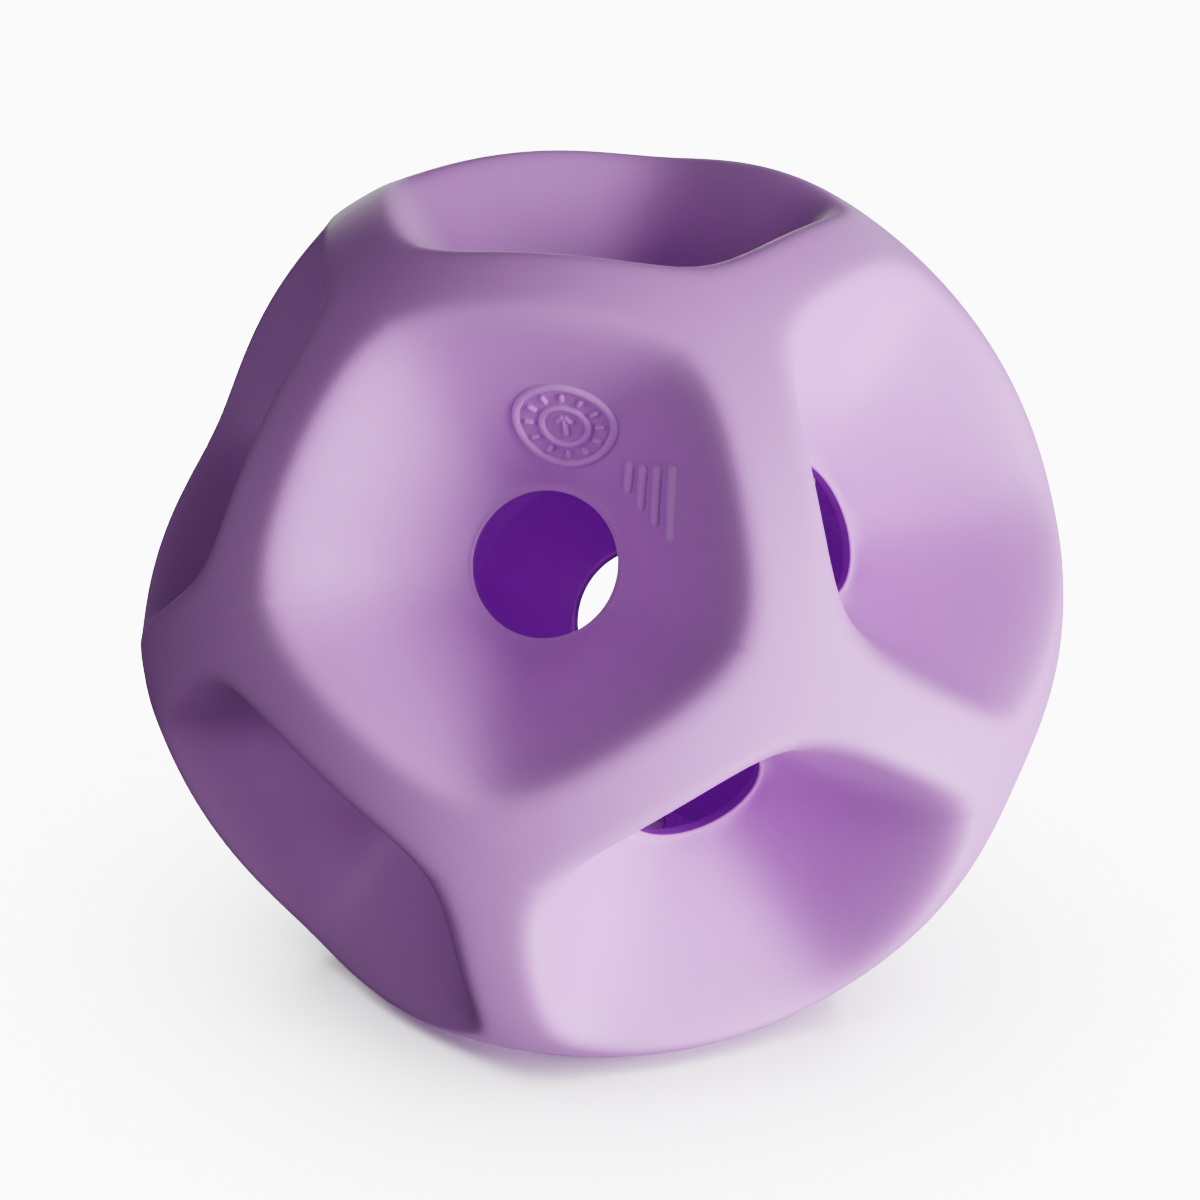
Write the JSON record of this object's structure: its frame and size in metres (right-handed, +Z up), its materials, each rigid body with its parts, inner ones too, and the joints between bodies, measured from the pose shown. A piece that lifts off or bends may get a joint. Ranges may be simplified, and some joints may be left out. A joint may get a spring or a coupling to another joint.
{
  "type": "playground rubber ball",
  "caption": "Hollow soft rubber ball shaped as a rounded dodecahedron, with a deep dished face and a round hole on every side, for gripping, rolling, throwing and catching.",
  "frame": {"origin": "on the floor under the middle of the ball, which rests on the rim of one dished face", "axes": "+Z up through the hole in the top face; -Y towards the side of the front face, which looks forwards and 26.6 degrees up; +X to the right seen from the front"},
  "size_m": [0.1006, 0.1002, 0.0885],
  "materials": {
    "moulded_rubber": "matt, smooth, lilac all through",
    "rubber_cement": "matt, trimmed flush with the ridge crests"
  },
  "bodies": {
    "root": {"front_half_shell": "moulded_rubber", "rear_half_shell": "moulded_rubber", "seam_bond": "rubber_cement"}
  },
  "joints": []
}
